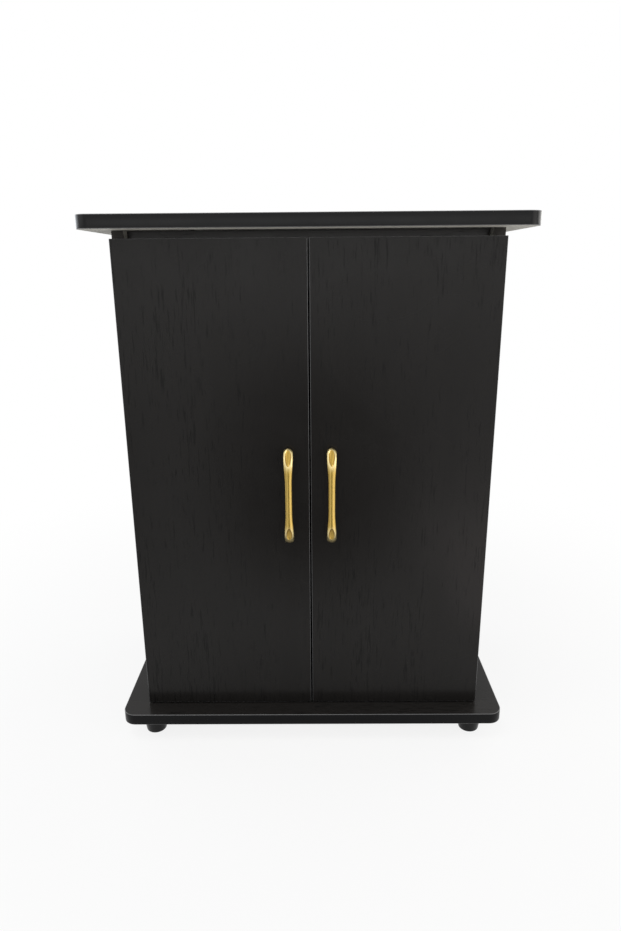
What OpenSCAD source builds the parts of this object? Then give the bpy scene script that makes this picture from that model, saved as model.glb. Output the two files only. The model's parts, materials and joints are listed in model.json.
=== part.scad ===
// Aquarium cabinet: two overlay doors between a top and a base board, on four feet.
// Origin at the middle of the footprint, on the floor. The doors face -Y.

/* [Boards] */
// Width of the top and base boards
board_w = 600; // [560:10:700]
// Depth of the top and base boards
board_d = 350; // [320:10:450]
// Thickness of the top and base boards
board_t = 18; // [16:1:25]
// Radius of the boards' front corners
corner_r = 20; // [8:1:30]
// How far the boards stand out past the side panels
side_overhang = 36; // [20:1:50]
// How far the boards stand out past the door fronts
front_overhang = 30; // [10:1:45]
// Thickness of the edge band round the boards
board_band_t = 1; // [0.6:0.2:2]

/* [Carcass] */
// Height of the side panels
carcass_h = 724; // [600:1:800]
// Thickness of the side panels
panel_t = 16; // [16:1:19]
// Thickness of the edge band on panels, shelf and doors
band_t = 0.8; // [0.4:0.1:1]
// Height of the front and rear rails
rail_h = 80; // [70:1:110]
// Thickness of the rails
rail_t = 16; // [16:1:19]
// How far the front rail lies behind the front edges of the side panels
rail_setback = 20; // [14:1:40]
// Thickness of the back panel
back_t = 3; // [2.5:0.5:5]
// Distance from the boards' rear edge to the back panel
back_inset = 12; // [8:1:20]
// Depth of the side panels' grooves for the back panel
groove_depth = 6; // [4:1:8]
// Play of the back panel in its grooves
groove_play = 0.2; // [0.1:0.05:0.4]

/* [Shelf] */
// Thickness of the shelf
shelf_t = 16; // [16:1:19]
// Height of the shelf's underside over the base board
shelf_z = 340; // [300:5:400]
// How far the shelf lies behind the front edges of the side panels
shelf_setback = 24; // [20:1:60]
// Play at each end of the shelf
shelf_play = 0.8; // [0.5:0.1:1.5]
// Spacing of the shelf holes
hole_pitch = 32; // [25:1:40]
// Number of shelf holes over and under the middle one
hole_steps = 3; // [1:1:4]
// Distance of the shelf holes and hinge plates from the front and rear edges
system_line = 37; // [32:1:45]
// Diameter of the shelf pins
pin_d = 5; // [4:0.5:6]

/* [Doors] */
// Thickness of the doors
door_t = 16; // [16:1:19]
// Gap between the door backs and the side panels
back_gap = 2; // [2:0.1:3]
// Gap under the doors
gap_below = 2; // [2:0.5:5]
// Gap over the doors
gap_above = 11; // [4:0.5:15]
// Gap between the doors
gap_middle = 2.5; // [2.4:0.1:5]
// Distance from a side panel's outer face to the door's edge
reveal = 1; // [1:0.1:1.6]

/* [Handles] */
// Distance between the screws of a handle
handle_pitch = 128; // [96:1:160]
// Length of a handle past each screw
handle_end = 8; // [5.5:0.5:10]
// Projection of a handle from the door
handle_out = 25; // [22:1:32]
// Width of the handle's waist
waist_w = 10.6; // [8:0.2:12]
// Width of the handle's ends
head_w = 14.5; // [12:0.5:16]
// Thickness of the bow
bow_t = 8.4; // [7:0.2:10]
// Depth of the scoop in each end
scoop_depth = 1.8; // [1:0.1:2.2]
// Distance from the door's inner edge to the middle of the handle
handle_inset = 29.8; // [22:0.5:45]
// How far the middle of the handle lies below the middle of the door
handle_drop = 2; // [0:1:60]
// Diameter of the handle screws
handle_screw_d = 4; // [3:0.5:5]

/* [Feet] */
// Height of the feet
foot_h = 32; // [25:1:60]
// Diameter of a foot at the board
foot_top_d = 42; // [38:1:50]
// Diameter of a foot at the floor
foot_floor_d = 32; // [24:1:36]
// Distance from the front and rear edges of the boards to the middle of a foot
foot_setback = 37; // [30:1:42]
// Diameter of the foot screws
foot_screw_d = 4.5; // [4:0.5:6]

/* [Joinery] */
// Diameter of the cam discs
cam_d = 15; // [14:0.5:16]
// Depth of the cam discs
cam_depth = 12.4; // [11:0.2:13]
// Distance from a board joint to the middle of a cam
cam_dist = 34; // [24:1:36]
// Diameter of a cam bolt's neck
bolt_d = 5.4; // [4.8:0.2:6]
// Diameter of the wooden dowels
dowel_d = 8; // [6:1:8]
// Length of the wooden dowels
dowel_len = 30; // [26:1:34]
// Radial play of screws, pins and dowels in their holes
fit_play = 0.05; // [0.03:0.01:0.1]

/* [Back openings] */
// Diameter of the hose holes in the back panel
hose_hole_d = 60; // [40:1:70]
// Wall of the hose grommets
grommet_wall = 2.5; // [2:0.5:4]
// Distance from the side panels' inner faces to the middle of the hose holes
hose_inset = 88; // [45:1:150]
// Distance from the rear rail down to the middle of the hose holes
hose_drop = 46; // [40:1:100]

/* [Hinges] */
// Distance of the hinges from the door's ends
hinge_end = 100; // [80:1:130]
// Diameter of the hinge cups
cup_d = 35; // [35:0.5:36]
// Depth of the hinge cups
cup_depth = 12.2; // [12:0.1:12.6]
// Wall of the hinge cups
cup_wall = 1; // [0.8:0.1:1.2]
// Diameter of the hinge pins
axle_d = 2; // [1.8:0.1:2.2]
// Radial play of the links on their pins
axle_play = 0.05; // [0.03:0.01:0.08]

/* [Hidden] */

$fn = 64;
eps = 0.01;

// Colours
laminate = [0.13, 0.13, 0.13];
band_black = [0.07, 0.07, 0.08];
gold = [0.78, 0.63, 0.28];
steel = [0.72, 0.72, 0.74];
zinc = [0.6, 0.6, 0.62];
beech = [0.8, 0.66, 0.45];
plastic = [0.15, 0.15, 0.16];
hardboard = [0.22, 0.2, 0.18];

// Levels from the floor up
z_base = foot_h;
z_floor = foot_h + board_t;
z_roof = z_floor + carcass_h;

// Planes from front to rear
y_front = -board_d / 2;
y_door = y_front + front_overhang;
y_door_back = y_door + door_t;
y_panel = y_door_back + back_gap;
y_rear = board_d / 2;
y_back = y_rear - back_inset - back_t;

// Planes from the side to the middle
x_side = board_w / 2 - side_overhang;
x_inner = x_side - panel_t;
x_joint = x_side - panel_t / 2;

// Doors
door_x = x_side - reveal;
door_w = door_x - gap_middle / 2;
door_z = z_floor + gap_below;
door_h = carcass_h - gap_below - gap_above;
door_mid = door_z + door_h / 2;

// Handles
handle_len = handle_pitch + 2 * handle_end;
handle_x = gap_middle / 2 + handle_inset;
handle_z = door_mid - handle_drop;
post_d = 9;
screw_head_h = 2.4;
screw_reach = 7;

// Joinery
joint_bolt = 50;
joint_dowel = 82;
bolt_ys = [y_panel + joint_bolt, y_rear - joint_bolt];
dowel_ys = [y_panel + joint_dowel, y_rear - joint_dowel];
thread_d = 5;
thread_len = 11;
dowel_board = 11;
rail_dowel = rail_h / 2 - 15;
rail_z = z_roof - rail_h / 2;
rail_front_y = y_panel + rail_setback + rail_t / 2;
rail_rear_y = y_back - groove_play - rail_t / 2;
rail_thread = 10;

// Shelf
shelf_bottom = z_floor + shelf_z;
pin_out = 12;
pin_drop = 6;
pin_plate = 1.6;
pin_len = 8;
shelf_hole_ys = [y_panel + system_line, y_back - system_line];
shelf_y0 = y_panel + shelf_setback;
shelf_y1 = y_back - 4;

// Back panel
back_play = 0.3;
hose_x = x_inner - hose_inset;
hose_z = z_roof - rail_h - hose_drop;
flange_out = 4;
flange_t = 2.5;
sleeve_len = 12;

// Hinges, in a frame with u from the side panel's inner face, v from its front edge, w up
arm_pin_long = [26, 12.8];
arm_pin_short = [13.2, -8.2];
cup_pin_long = [-3.7, -4];
cup_pin_short = [-1.6, -8];
open_play = 1.2;
cup_u = 6;
hinge_zs = [door_z + hinge_end, door_z + door_h - hinge_end];

// Outline of a board with two round front corners, drawn in by inset
module board_outline(inset) {
    r = corner_r - inset;
    x = board_w / 2 - inset;
    y0 = y_front + inset;
    y1 = y_rear - inset;
    translate([-x, y0 + r]) square([2 * x, y1 - y0 - r]);
    translate([r - x, y0]) square([2 * (x - r), r + 1]);
    for (s = [-1, 1]) translate([s * (x - r), y0 + r]) circle(r);
}

module board_core(z) {
    translate([0, 0, z]) linear_extrude(board_t) board_outline(board_band_t);
}

module board_band(z) {
    color(band_black) translate([0, 0, z]) linear_extrude(board_t) difference() {
        board_outline(0);
        board_outline(board_band_t);
    }
}

// A joint's frame: +z into the board or panel that takes the thread, +x to the cam's side
module at_board_joints(ys) {
    for (s = [-1, 1], y = ys) {
        translate([s * x_joint, y, z_roof]) mirror([s > 0 ? 1 : 0, 0, 0]) children();
        translate([s * x_joint, y, z_floor]) mirror([s > 0 ? 1 : 0, 0, 0]) mirror([0, 0, 1])
            children();
    }
}

module at_rail_joints(dz) {
    for (s = [-1, 1], f = [-1, 1])
        translate([s * x_inner, f > 0 ? rail_front_y : rail_rear_y, rail_z + dz])
        rotate([f * s * 90, 0, f * 90]) children();
}

// Holes that a cam joint needs: disc and neck in the carried piece, thread in the other
module cam_holes(t) {
    translate([t / 2 - cam_depth - fit_play, 0, -cam_dist]) rotate([0, 90, 0])
        cylinder(d = cam_d + 2 * fit_play, h = cam_depth + 1);
    translate([0, 0, -cam_dist]) cylinder(d = bolt_d + 2, h = cam_dist + eps);
}

module thread_hole(len) {
    translate([0, 0, -eps]) cylinder(d = thread_d + 2 * fit_play, h = len + 0.5);
}

module dowel_hole(up, down) {
    translate([0, 0, -down - 0.5]) cylinder(d = dowel_d + 2 * fit_play, h = up + down + 1);
}

module cam_disc(t) {
    difference() {
        translate([t / 2 - cam_depth, 0, -cam_dist]) rotate([0, 90, 0]) cylinder(d = cam_d, h = cam_depth);
        translate([0, 0, -cam_dist]) cylinder(d = bolt_d + 1, h = cam_d);
        translate([0, 0, -cam_dist - 3]) cylinder(d = bolt_d + 4, h = 6.5);
        translate([t / 2, 0, -cam_dist]) cube([3.2, 1.2, 7], center = true);
        translate([t / 2, 0, -cam_dist]) cube([3.2, 7, 1.2], center = true);
    }
}

// Turned bolt: threaded end, collar, neck and the head that the cam hooks
module cam_bolt(len) {
    r = bolt_d / 2;
    rotate_extrude() polygon([[0, len], [1.4, len], [thread_d / 2, len - 2], [thread_d / 2, 0],
        [r + 0.7, 0], [r + 0.7, -1.5], [r, -2.2], [r, 4.5 - cam_dist], [r - 0.9, 3.5 - cam_dist],
        [r - 0.9, 1.6 - cam_dist], [r + 0.6, 1 - cam_dist], [r + 0.6, -1.2 - cam_dist],
        [r - 0.4, -2.2 - cam_dist], [0, -2.2 - cam_dist]]);
}

module dowel(up, down) {
    r = dowel_d / 2;
    rotate_extrude() polygon([[0, up], [r - 1, up], [r, up - 1], [r, 1 - down], [r - 1, -down], [0, -down]]);
}

module top_board() {
    color(laminate) difference() {
        board_core(z_roof);
        at_board_joints(bolt_ys) thread_hole(thread_len);
        at_board_joints(dowel_ys) dowel_hole(dowel_board, dowel_len - dowel_board);
    }
}

module top_edge_band() {
    board_band(z_roof);
}

module base_board() {
    color(laminate) difference() {
        board_core(z_base);
        at_board_joints(bolt_ys) thread_hole(thread_len);
        at_board_joints(dowel_ys) dowel_hole(dowel_board, dowel_len - dowel_board);
        at_feet() foot_screw_hole();
    }
}

module base_edge_band() {
    board_band(z_base);
}

// Side panels: the left one, mirrored for the right
module side_panel() {
    color(laminate) difference() {
        translate([-x_side, y_panel + band_t, z_floor])
            cube([panel_t, y_rear - y_panel - band_t, carcass_h]);
        translate([-x_inner - groove_depth, y_back - groove_play, z_floor - 1])
            cube([groove_depth + 1, back_t + 2 * groove_play, carcass_h + 2]);
        at_board_joints(bolt_ys) cam_holes(panel_t);
        at_board_joints(dowel_ys) dowel_hole(dowel_board, dowel_len - dowel_board);
        at_rail_joints(0) thread_hole(rail_thread);
        for (dz = [-1, 1]) at_rail_joints(dz * rail_dowel) dowel_hole(dowel_board, dowel_len - dowel_board);
        for (y = shelf_hole_ys, i = [-hole_steps:hole_steps])
            translate([-x_inner - pin_len - 0.5, y, shelf_bottom - pin_drop + i * hole_pitch])
            rotate([0, 90, 0]) cylinder(d = pin_d + 2 * fit_play, h = pin_len + 1);
        at_hinges() plate_screw_holes();
    }
}

module left_side_panel() {
    side_panel();
}

module right_side_panel() {
    mirror([1, 0, 0]) side_panel();
}

module panel_band() {
    color(band_black) translate([-x_side, y_panel, z_floor]) cube([panel_t, band_t, carcass_h]);
}

module left_panel_band() {
    panel_band();
}

module right_panel_band() {
    mirror([1, 0, 0]) panel_band();
}

module rail(y) {
    color(laminate) difference() {
        translate([-x_inner, y - rail_t / 2, z_roof - rail_h]) cube([2 * x_inner, rail_t, rail_h]);
        at_rail_joints(0) cam_holes(rail_t);
        for (dz = [-1, 1]) at_rail_joints(dz * rail_dowel) dowel_hole(dowel_board, dowel_len - dowel_board);
    }
}

module front_rail() {
    rail(rail_front_y);
}

module rear_rail() {
    rail(rail_rear_y);
}

module at_hose_holes(sides) {
    for (s = sides) translate([s * hose_x, y_back, hose_z]) rotate([-90, 0, 0]) children();
}

module back_panel() {
    x = x_inner + groove_depth - back_play;
    color(hardboard) difference() {
        translate([-x, y_back, z_floor + back_play]) cube([2 * x, back_t, carcass_h - 2 * back_play]);
        at_hose_holes([-1, 1]) translate([0, 0, -1]) cylinder(d = hose_hole_d, h = back_t + 2);
    }
}

// Plastic ring that lines a hose hole, with its flange on the rear face
module hose_grommet(s) {
    ro = hose_hole_d / 2 - fit_play;
    ri = ro - grommet_wall;
    color(plastic) at_hose_holes([s]) rotate_extrude() polygon([[ri, back_t - sleeve_len],
        [ro - 0.8, back_t - sleeve_len], [ro, back_t - sleeve_len + 2], [ro, back_t],
        [ro + flange_out, back_t], [ro + flange_out, back_t + flange_t - 1],
        [ro + flange_out - 1.2, back_t + flange_t], [ri + 1, back_t + flange_t],
        [ri, back_t + flange_t - 1]]);
}

module left_hose_grommet() {
    hose_grommet(-1);
}

module right_hose_grommet() {
    hose_grommet(1);
}

module shelf() {
    x = x_inner - shelf_play;
    color(laminate) translate([-x, shelf_y0 + band_t, shelf_bottom])
        cube([2 * x, shelf_y1 - shelf_y0 - band_t, shelf_t]);
}

module shelf_band() {
    x = x_inner - shelf_play;
    color(band_black) translate([-x, shelf_y0, shelf_bottom]) cube([2 * x, band_t, shelf_t]);
}

// Angled shelf support: pin in the panel, plate against it, tongue under the shelf
module shelf_pin() {
    w = pin_d * 2;
    translate([-pin_len, 0, -pin_drop]) rotate([0, 90, 0]) cylinder(d = pin_d, h = pin_len + eps);
    translate([0, -w / 2, -pin_drop]) cube([pin_plate, w, pin_drop]);
    translate([0, 0, -pin_drop]) rotate([0, 90, 0]) cylinder(d = w, h = pin_plate);
    translate([0, -w / 2, -pin_plate]) cube([pin_out - w / 2, w, pin_plate]);
    translate([pin_out - w / 2, 0, -pin_plate]) cylinder(d = w, h = pin_plate);
}

module shelf_pins() {
    color(steel) for (s = [0, 1], y = shelf_hole_ys) mirror([s, 0, 0])
        translate([-x_inner, y, shelf_bottom]) shelf_pin();
}

module cam_discs() {
    color(zinc) {
        at_board_joints(bolt_ys) cam_disc(panel_t);
        at_rail_joints(0) cam_disc(rail_t);
    }
}

module cam_bolts() {
    color(steel) {
        at_board_joints(bolt_ys) cam_bolt(thread_len);
        at_rail_joints(0) cam_bolt(rail_thread);
    }
}

module dowels() {
    color(beech) {
        at_board_joints(dowel_ys) dowel(dowel_board, dowel_len - dowel_board);
        for (dz = [-1, 1]) at_rail_joints(dz * rail_dowel) dowel(dowel_board, dowel_len - dowel_board);
    }
}

// Feet, which stand under the middle of the side panels
foot_ys = board_d / 2 - foot_setback;
foot_floor_t = 14;
head_h = 3.4;
screw_in_board = board_t - 4;

module at_feet() {
    for (x = [-x_joint, x_joint], y = [-foot_ys, foot_ys]) translate([x, y, 0]) children();
}

module foot_screw_hole() {
    translate([0, 0, foot_h - eps]) cylinder(d = foot_screw_d + 2 * fit_play, h = screw_in_board + 0.5);
}

// Moulded tapered foot, hollow under a web that the screw goes through
module foot(x, y) {
    rt = foot_top_d / 2;
    rf = foot_floor_d / 2;
    wall = 3;
    web = foot_h - foot_floor_t;
    color(plastic) translate([x, y, 0]) difference() {
        rotate_extrude() polygon([[0, 0], [rf - 1.5, 0], [rf, 1.5], [rt - 1.5, foot_h - 5],
            [rt, foot_h - 3.5], [rt, foot_h - 0.8], [rt - 0.8, foot_h], [0, foot_h]]);
        translate([0, 0, -1]) cylinder(r = rf - wall, h = web + 1);
        cylinder(d = foot_screw_d + 1, h = foot_h + 1);
    }
}

module front_left_foot() {
    foot(-x_joint, -foot_ys);
}

module front_right_foot() {
    foot(x_joint, -foot_ys);
}

module rear_left_foot() {
    foot(-x_joint, foot_ys);
}

module rear_right_foot() {
    foot(x_joint, foot_ys);
}

// Wood screw with a pan head, pointing up
module wood_screw(d, len) {
    rotate_extrude() polygon([[0, -head_h], [d * 0.7, -head_h], [d, 1 - head_h], [d, 0],
        [d / 2, 0], [d / 2, len - d], [0.3, len], [0, len]]);
}

module foot_screws() {
    web = foot_h - foot_floor_t;
    color(steel) at_feet() translate([0, 0, web]) wood_screw(foot_screw_d, foot_floor_t + screw_in_board);
}

// Doors: the left one, mirrored for the right
module door_outline(inset) {
    translate([-door_x + inset, door_z + inset]) square([door_w - 2 * inset, door_h - 2 * inset]);
}

module door_slab() {
    translate([0, y_door_back, 0]) rotate([90, 0, 0]) linear_extrude(door_t) children();
}

module at_handle_screws() {
    for (s = [-1, 1]) translate([-handle_x, y_door, handle_z + s * handle_pitch / 2])
        rotate([-90, 0, 0]) children();
}

module door() {
    color(laminate) difference() {
        door_slab() door_outline(band_t);
        at_handle_screws() translate([0, 0, -1]) cylinder(d = handle_screw_d + 0.6, h = door_t + 2);
        at_hinges() cup_bores();
    }
}

module left_door() {
    door();
}

module right_door() {
    mirror([1, 0, 0]) door();
}

module door_band() {
    color(band_black) door_slab() difference() {
        door_outline(0);
        door_outline(band_t);
    }
}

module left_door_band() {
    door_band();
}

module right_door_band() {
    mirror([1, 0, 0]) door_band();
}

// Handles: a bow of ellipses along a path whose ends bend towards the door
bend_angle = 42;
bend_run = 28;
half_steps = 26;
ring_sides = 20;
cap_len = 9;
scoop_run = 23;
scoop_w = 0.62;

function smooth(t) = let (c = min(1, max(0, t))) c * c * (3 - 2 * c);
function mean_cos(k) = [for (i = [0:k - 1]) cos(bend_angle * smooth((i + 0.5) / k))]
    * [for (i = [0:k - 1]) 1 / k];

bend_start = handle_pitch / 2 - bend_run;
bow_end = bend_start + (handle_len / 2 - bend_start) / mean_cos(60);

function tilt(s) = bend_angle * smooth((s - bend_start) / (bow_end - bend_start));
function cap(s) = let (e = max(0, s - bow_end + cap_len) / cap_len) sqrt(max(0, 1 - e * e));
function half_width(s) = cap(s) * (waist_w + (head_w - waist_w) * smooth((s - bend_start + 14) / 40)) / 2;
function half_depth(s) = cap(s) * (bow_t - 1.4 * smooth((s - bend_start) / 30)) / 2;
function step_at(i) = i < 6 ? bend_start * i / 6
    : bow_end - (bow_end - bend_start) * pow((half_steps - i) / (half_steps - 6), 1.25);

// Points [along, out, path length] from the middle of the bow to one end
bow_path = [for (i = 0, z = 0, y = handle_out - bow_t / 2; i <= half_steps;
    z = z + (step_at(i + 1) - step_at(i)) * cos(tilt((step_at(i) + step_at(i + 1)) / 2)),
    y = y - (step_at(i + 1) - step_at(i)) * sin(tilt((step_at(i) + step_at(i + 1)) / 2)),
    i = i + 1) [z, y, step_at(i)]];

// How far the scoop sinks the outer face: an oval, deepest towards the middle of the handle
function scoop(s, x) = let (c = bow_end - 3 - scoop_run / 2, u = (s - c) / (scoop_run / 2),
    v = x / (head_w * scoop_w / 2), q = 1 - u * u - v * v)
    q <= 0 ? 0 : scoop_depth * pow(q, 0.6) * (1 - 0.35 * u);

function ring(p, side) = [for (j = [0:ring_sides - 1]) let (
    a = side * 360 * j / ring_sides, x = half_width(p[2]) * sin(a),
    h = half_depth(p[2]) * cos(a) - (cos(a) > 0 ? scoop(p[2], x) : 0))
    [x, -p[1] - h * cos(tilt(p[2])), side * (p[0] + h * sin(tilt(p[2])))]];

module bow() {
    last = half_steps - 1;
    rings = concat([for (i = [last:-1:0]) ring(bow_path[i], -1)],
        [for (i = [1:last]) ring(bow_path[i], 1)]);
    n = len(rings);
    tips = [for (s = [-1, 1]) [0, -bow_path[half_steps][1], s * bow_path[half_steps][0]]];
    points = concat([for (i = [0:n - 1]) each i < last + 1 ? mirrored(rings[i]) : rings[i]], tips);
    function at(i, j) = i * ring_sides + j % ring_sides;
    faces = concat(
        [for (i = [0:n - 2], j = [0:ring_sides - 1]) each
            [[at(i, j), at(i + 1, j), at(i + 1, j + 1)], [at(i, j), at(i + 1, j + 1), at(i, j + 1)]]],
        [for (j = [0:ring_sides - 1]) [n * ring_sides, at(0, j), at(0, j + 1)]],
        [for (j = [0:ring_sides - 1]) [n * ring_sides + 1, at(n - 1, j + 1), at(n - 1, j)]]);
    polyhedron(points, faces);
}

// The rings of the lower half run the other way round, so they are put back in step
function mirrored(r) = [for (j = [0:ring_sides - 1]) r[(ring_sides - j) % ring_sides]];

module handle() {
    post = bow_path[half_steps][1] + 2.6;
    color(gold) difference() {
        union() {
            translate([-handle_x, y_door, handle_z]) bow();
            at_handle_screws() rotate([180, 0, 0]) rotate_extrude() polygon([[0, 0],
                [post_d / 2 + 0.8, 0], [post_d / 2 + 0.8, 0.8], [post_d / 2 - 0.3, 2.4],
                [post_d / 2 - 0.3, post], [0, post]]);
        }
        at_handle_screws() translate([0, 0, -screw_reach - 0.5])
            cylinder(d = handle_screw_d + 2 * fit_play, h = screw_reach + 1);
    }
}

module left_handle() {
    handle();
}

module right_handle() {
    mirror([1, 0, 0]) handle();
}

// Machine screw from the door's back, with a cross in its head
module handle_screws() {
    r = handle_screw_d / 2;
    color(steel) at_handle_screws() difference() {
        rotate_extrude() polygon([[0, -screw_reach], [r - 0.6, -screw_reach], [r, 0.6 - screw_reach],
            [r, door_t], [2 * r, door_t], [2 * r, door_t + screw_head_h - 1],
            [1.5 * r, door_t + screw_head_h], [0, door_t + screw_head_h]]);
        translate([0, 0, door_t + screw_head_h]) cube([r * 2, r / 3, 2.4], center = true);
        translate([0, 0, door_t + screw_head_h]) cube([r / 3, r * 2, 2.4], center = true);
    }
}

module left_handle_screws() {
    handle_screws();
}

module right_handle_screws() {
    mirror([1, 0, 0]) handle_screws();
}

// Concealed hinges
arm_t = 1.4;
arm_half = 5.6;
link_t = 1.3;
link_half = 3.9;
short_half = 3.5;
cheek_t = 1.2;
cheek_half = 7.6;
axle_r = axle_d / 2;
eye_r = axle_r + 1.2;
open_r = axle_r + open_play;
link_w = 1.2;
bow_out = 1.1;
plate_t = 2;
spine_top = 8;
spine_half = 5.4;
plate_front = 12;
plate_rear = 25;
plate_v0 = system_line - plate_front;
plate_v1 = system_line + plate_rear;
wing_r = 6;
plate_screw_d = 4;
arm_screw_d = 5;
arm_screw_front = 15;
arm_screw_rear = 8;
cup_r = cup_d / 2;
cavity_r = cup_r - cup_wall;
cup_mouth = -back_gap;
cup_floor = cup_mouth - cup_depth + cup_wall;
flange_cup_t = 1.2;
cup_screw_u = cup_u + 6;
cup_screw_w = 24;
flange_w = 12;
flange_end_r = 6;
cup_screw_d = 3.5;
cup_screw_len = 11;

module at_hinges() {
    for (z = hinge_zs) translate([-x_inner, y_panel, z]) children();
}

module at_plate_screws() {
    for (w = [-hole_pitch / 2, hole_pitch / 2]) translate([0, system_line, w]) children();
}

module at_cup_screws() {
    for (w = [-cup_screw_w, cup_screw_w])
        translate([cup_screw_u, cup_mouth, w]) rotate([90, 0, 0]) children();
}

module plate_screw_holes() {
    at_plate_screws() translate([-panel_t + 3.5, 0, 0]) rotate([0, 90, 0])
        cylinder(d = plate_screw_d + 2 * fit_play, h = panel_t);
}

module cup_bores() {
    translate([cup_u, cup_mouth + 1, 0]) rotate([90, 0, 0])
        cylinder(d = cup_d + 2 * fit_play, h = cup_depth + 1.3);
    at_cup_screws() translate([0, 0, -1]) cylinder(d = cup_screw_d + 2 * fit_play, h = cup_screw_len + 1.5);
}

// Flat strip of the plane u, v with round ends
module strap(a, b, r) {
    d = b - a;
    translate(a) circle(r);
    translate(b) circle(r);
    translate(a) rotate(atan2(d[1], d[0])) translate([0, -r]) square([norm(d), 2 * r]);
}

// A flat shape of the plane u, v, from w0 to w1 on both sides of the hinge's middle
module cheeks(w0, t) {
    for (w = [w0, -w0 - t]) translate([0, 0, w]) linear_extrude(t) children();
}

module axle(p, w0, w1) {
    translate([p[0], p[1], w0]) cylinder(r = axle_r, h = w1 - w0);
}

// Screw with a pan head and a cross, pointing down, its head's underside at the origin
module pan_screw(d, len, head) {
    difference() {
        rotate([180, 0, 0]) rotate_extrude() polygon([[0, -head], [d * 0.6, -head],
            [d * 0.9, -head * 0.45], [d * 0.95, 0], [d / 2, 0], [d / 2, len - d * 0.4],
            [d * 0.2, len], [0, len]]);
        translate([0, 0, head]) cube([d, d / 6, head], center = true);
        translate([0, 0, head]) cube([d / 6, d, head], center = true);
    }
}

// Cross-shaped plate with the spine that the arm sits on
module hinge_plates() {
    wing = hole_pitch / 2;
    color(steel) at_hinges() difference() {
        union() {
            translate([0, plate_v0, -wing_r - 3]) cube([plate_t, plate_v1 - plate_v0, 2 * wing_r + 6]);
            translate([0, system_line - wing_r, -wing]) cube([plate_t, 2 * wing_r, 2 * wing]);
            at_plate_screws() rotate([0, 90, 0]) cylinder(r = wing_r, h = plate_t);
            translate([plate_t - eps, plate_v0 + 2, -spine_half])
                cube([spine_top - plate_t + eps, plate_v1 - plate_v0 - 4, 2 * spine_half]);
        }
        at_plate_screws() translate([-1, 0, 0]) rotate([0, 90, 0])
            cylinder(d = plate_screw_d + 2 * fit_play, h = plate_t + 2);
        at_arm_screws() translate([0, 0, -spine_top - 1])
            cylinder(d = arm_screw_d + 2 * fit_play, h = spine_top + 2);
    }
}

module left_hinge_plates() {
    hinge_plates();
}

module right_hinge_plates() {
    mirror([1, 0, 0]) hinge_plates();
}

// The two screws that clamp the arm to the plate
module at_arm_screws() {
    for (v = [plate_v0 + arm_screw_front, plate_v1 - arm_screw_rear])
        translate([spine_top, v, 0]) rotate([0, 90, 0]) children();
}

module arm_profile() {
    u0 = plate_t + 0.5;
    u1 = spine_top + arm_t;
    polygon([[u0, plate_v1], [u0, plate_v0 + 2], [9, 12], [arm_pin_short[0] - eye_r, arm_pin_short[1]],
        [arm_pin_short[0] + eye_r, arm_pin_short[1]], arm_pin_long + [1.4, -eye_r + 0.4],
        arm_pin_long + [eye_r - 0.2, 1], [u1, plate_v0 + 9], [u1, plate_v1]]);
    translate(arm_pin_short) circle(eye_r);
    translate(arm_pin_long) circle(eye_r);
}

// Pressed arm: two cheeks joined by a web that lies on the plate's spine
module hinge_arms() {
    u1 = spine_top + arm_t;
    knee = plate_v0 + 9;
    color(steel) at_hinges() difference() {
        union() {
            cheeks(arm_half, arm_t) arm_profile();
            translate([0, 0, -arm_half - eps]) linear_extrude(2 * arm_half + 2 * eps) polygon([
                [spine_top, plate_v1], [spine_top, knee - 0.6], [arm_pin_long[0] - 6.6, arm_pin_long[1] + 7],
                [arm_pin_long[0] - 5.2, arm_pin_long[1] + 7.6], [u1, knee], [u1, plate_v1]]);
        }
        for (p = [arm_pin_long, arm_pin_short]) translate([p[0], p[1], -arm_half - arm_t - 1])
            cylinder(r = axle_r + 0.02, h = 2 * (arm_half + arm_t + 1));
        at_arm_screws() translate([0, 0, -1])
            cylinder(d = arm_screw_d + 2 * fit_play, h = arm_t + 2);
    }
}

module left_hinge_arms() {
    hinge_arms();
}

module right_hinge_arms() {
    mirror([1, 0, 0]) hinge_arms();
}

module plate_screws() {
    color(steel) at_hinges() {
        at_plate_screws() translate([plate_t, 0, 0]) rotate([0, 90, 0])
            pan_screw(plate_screw_d, panel_t - 4 + plate_t, 2.2);
        at_arm_screws() translate([0, 0, arm_t]) pan_screw(arm_screw_d, arm_t + spine_top - plate_t, 2.4);
    }
}

module left_plate_screws() {
    plate_screws();
}

module right_plate_screws() {
    mirror([1, 0, 0]) plate_screws();
}

module arm_pins() {
    w = arm_half + arm_t + 0.4;
    color(steel) at_hinges() for (p = [arm_pin_long, arm_pin_short]) axle(p, -w, w);
}

module left_arm_pins() {
    arm_pins();
}

module right_arm_pins() {
    mirror([1, 0, 0]) arm_pins();
}

// Long link: two cheeks that pass outside the short link, bowed clear of its pin in the arm
module long_links() {
    d = cup_pin_long - arm_pin_long;
    side = [d[1], -d[0]] / norm(d);
    bow_1 = arm_pin_long + 0.45 * d + bow_out * side;
    bow_2 = arm_pin_long + 0.73 * d + bow_out * side;
    bow_3 = arm_pin_long + 0.85 * d;
    color(steel) at_hinges() difference() {
        union() {
            cheeks(link_half, link_t) {
                translate(arm_pin_long) circle(eye_r);
                translate(cup_pin_long) circle(eye_r - 0.2);
                strap(arm_pin_long, bow_1, link_w);
                strap(bow_1, bow_2, link_w);
                strap(bow_2, bow_3, link_w);
                strap(bow_3, cup_pin_long, link_w);
            }
            translate([0, 0, -link_half - eps]) linear_extrude(2 * link_half + 2 * eps)
                strap(arm_pin_long + 0.25 * d + bow_out * side, bow_1 + 0.4 * side, 0.7);
        }
        for (p = [arm_pin_long, cup_pin_long]) translate([p[0], p[1], -link_half - link_t - 1])
            cylinder(r = axle_r + axle_play, h = 2 * (link_half + link_t + 1));
    }
}

module left_long_links() {
    long_links();
}

module right_long_links() {
    mirror([1, 0, 0]) long_links();
}

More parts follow.
